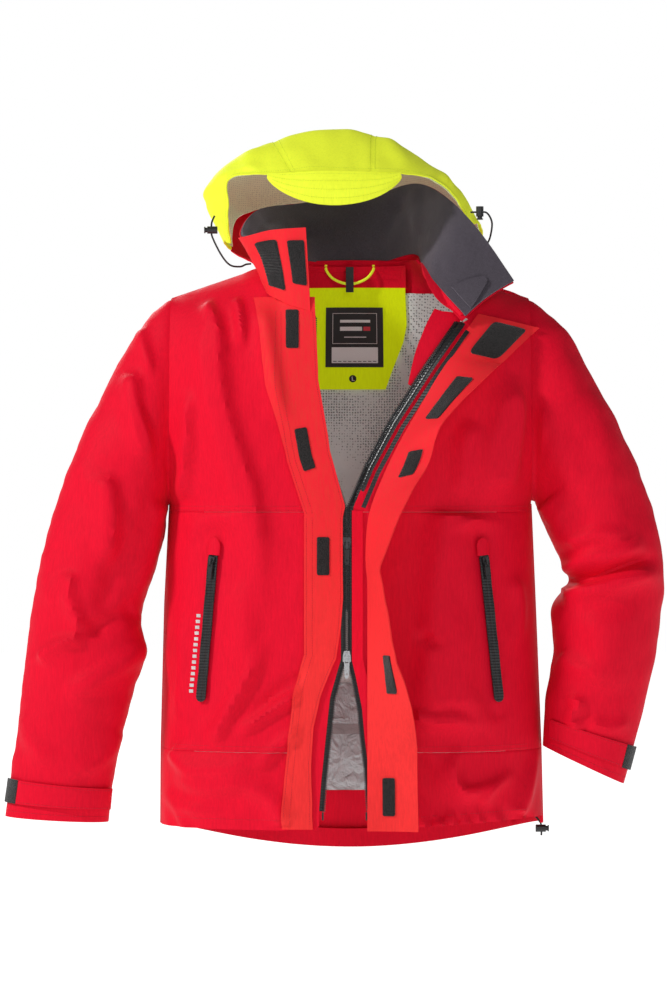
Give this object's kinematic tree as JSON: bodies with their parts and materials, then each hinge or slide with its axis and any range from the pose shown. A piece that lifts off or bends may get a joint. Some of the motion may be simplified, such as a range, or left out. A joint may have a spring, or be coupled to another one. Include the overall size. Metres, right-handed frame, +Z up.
{
  "type": "foul weather jacket",
  "caption": "Hooded waterproof sailing jacket worn open at the neck, with a two-way zip, storm flap, zipped side pockets, cuff tabs, fleece collar and mesh lining.",
  "frame": {"origin": "at the hanging loop, in the middle of the back neck seam", "axes": "+X to the wearer's left, +Y to the wearer's back, +Z up"},
  "size_m": [0.9207, 0.4022, 0.9998],
  "materials": {
    "shell_red": "matte coated nylon twill",
    "shell_lime": "matte fluorescent coated nylon",
    "hook_and_loop": "loop pile",
    "zip_tape": "woven and laminated tape",
    "zip_teeth": "moulded",
    "zip_metal": "satin",
    "black_pull": "moulded",
    "fleece": "short pile fleece",
    "mesh": "open net",
    "silver_lining": "coated taffeta",
    "label": "woven satin",
    "cord": "braided",
    "lock": "moulded"
  },
  "bodies": {
    "jacket": {"back_yoke": "shell_red", "back_panel": "shell_red", "back_hem_band": "shell_red", "right_chest_panel": "shell_red", "right_front_panel": "shell_red", "right_hem_band": "shell_red", "left_chest_panel": "shell_red", "left_front_panel": "shell_red", "left_hem_band": "shell_red", "right_sleeve_front": "shell_red", "right_sleeve_back": "shell_red", "left_sleeve_front": "shell_red", "left_sleeve_back": "shell_red", "right_placket_flap": "shell_red", "inner_zip_guard": "shell_red", "storm_flap_upper": "shell_red", "closure_patches": "hook_and_loop", "main_zip_tapes": "zip_tape", "main_zip_teeth": "zip_teeth", "zip_end_fittings": "zip_metal", "pocket_zips": "zip_tape", "pocket_garages": "shell_red", "pocket_bags": "silver_lining", "collar_shell": "shell_red", "collar_lining": "fleece", "right_collar_flap": "shell_red", "chin_guard": "fleece", "neck_facing": "shell_red", "yoke_facing": "shell_lime", "care_label": "label", "mesh_lining": "mesh", "lower_lining": "silver_lining", "hanging_loop": "shell_lime", "hang_tab": "label", "hood_neck": "shell_red", "hem_cord": "cord", "hem_lock": "lock"},
    "storm_flap": {"storm_flap_lower": "shell_red", "flap_patches": "hook_and_loop"},
    "upper_slider": {"upper_zip_slider": "zip_metal"},
    "upper_pull": {"upper_zip_pull": "black_pull"},
    "lower_slider": {"lower_zip_slider": "zip_metal"},
    "lower_pull": {"lower_zip_pull": "zip_metal"},
    "right_pocket_slider": {"right_pocket_slider": "zip_metal"},
    "right_pocket_pull": {"right_pocket_pull": "black_pull"},
    "left_pocket_slider": {"left_pocket_slider": "zip_metal"},
    "left_pocket_pull": {"left_pocket_pull": "black_pull"},
    "right_cuff_tab": {"right_cuff_tab": "shell_red", "right_cuff_pad": "hook_and_loop"},
    "left_cuff_tab": {"left_cuff_tab": "shell_red", "left_cuff_pad": "hook_and_loop"},
    "hood": {"hood_crown": "shell_lime", "hood_peak": "shell_lime", "hood_lining": "mesh", "hood_cord_right": "cord", "hood_cord_left": "cord", "hood_locks": "lock"},
    "hood_button_right": {"hood_button_right": "lock"},
    "hood_button_left": {"hood_button_left": "lock"},
    "hem_button": {"hem_button": "lock"}
  },
  "joints": [
    {"name": "storm_flap_hinge", "type": "hinge", "parent": "jacket", "child": "storm_flap", "pos_m": [0.023, -0.227, -0.434], "axis": [0, 0, 1], "range_deg": [-100, 5]},
    {"name": "upper_slider_slide", "type": "slide", "parent": "jacket", "child": "upper_slider", "axis": [0, 0, 1], "range_m": [-0.055, 0]},
    {"name": "upper_pull_hinge", "type": "hinge", "parent": "upper_slider", "child": "upper_pull", "pos_m": [-0.005, -0.2209, -0.385], "axis": [-1, 0, 0], "range_deg": [0, 150]},
    {"name": "lower_slider_slide", "type": "slide", "parent": "jacket", "child": "lower_slider", "axis": [0, 0, 1], "range_m": [0, 0.055]},
    {"name": "lower_pull_hinge", "type": "hinge", "parent": "lower_slider", "child": "lower_pull", "pos_m": [-0.005, -0.2209, -0.54], "axis": [-1, 0, 0], "range_deg": [0, 150]},
    {"name": "right_pocket_slide", "type": "slide", "parent": "jacket", "child": "right_pocket_slider", "axis": [-0.087, 0.0326, -0.9957], "range_m": [0, 0.165]},
    {"name": "right_pocket_pull_hinge", "type": "hinge", "parent": "right_pocket_slider", "child": "right_pocket_pull", "pos_m": [-0.19129, -0.1959, -0.41073], "axis": [-0.874, 0.4772, 0.092], "range_deg": [0, 150]},
    {"name": "left_pocket_slide", "type": "slide", "parent": "jacket", "child": "left_pocket_slider", "axis": [0.1061, 0.0363, -0.9937], "range_m": [0, 0.165]},
    {"name": "left_pocket_pull_hinge", "type": "hinge", "parent": "left_pocket_slider", "child": "left_pocket_pull", "pos_m": [0.18638, -0.19892, -0.41108], "axis": [-0.8844, -0.4534, -0.111], "range_deg": [0, 150]},
    {"name": "right_cuff_tab_hinge", "type": "hinge", "parent": "jacket", "child": "right_cuff_tab", "pos_m": [-0.33205, -0.13085, -0.74201], "axis": [0.1033, 0.0049, 0.9946], "range_deg": [0, 100]},
    {"name": "left_cuff_tab_hinge", "type": "hinge", "parent": "jacket", "child": "left_cuff_tab", "pos_m": [0.27799, -0.14488, -0.64328], "axis": [-0.129, 0.0335, -0.9911], "range_deg": [0, 100]},
    {"name": "hood_fold", "type": "hinge", "parent": "jacket", "child": "hood", "pos_m": [0, 0.014, 0.008], "axis": [-1, 0, 0], "range_deg": [0, 75]},
    {"name": "hood_button_right_press", "type": "slide", "parent": "hood", "child": "hood_button_right", "axis": [1, 0, 0], "range_m": [0, 0.0025], "stiffness_N_per_m": 500},
    {"name": "hood_button_left_press", "type": "slide", "parent": "hood", "child": "hood_button_left", "axis": [0, 0, 1], "range_m": [0, 0.0025], "stiffness_N_per_m": 500},
    {"name": "hem_button_press", "type": "slide", "parent": "jacket", "child": "hem_button", "axis": [-1, 0, 0], "range_m": [0, 0.0025], "stiffness_N_per_m": 500}
  ]
}
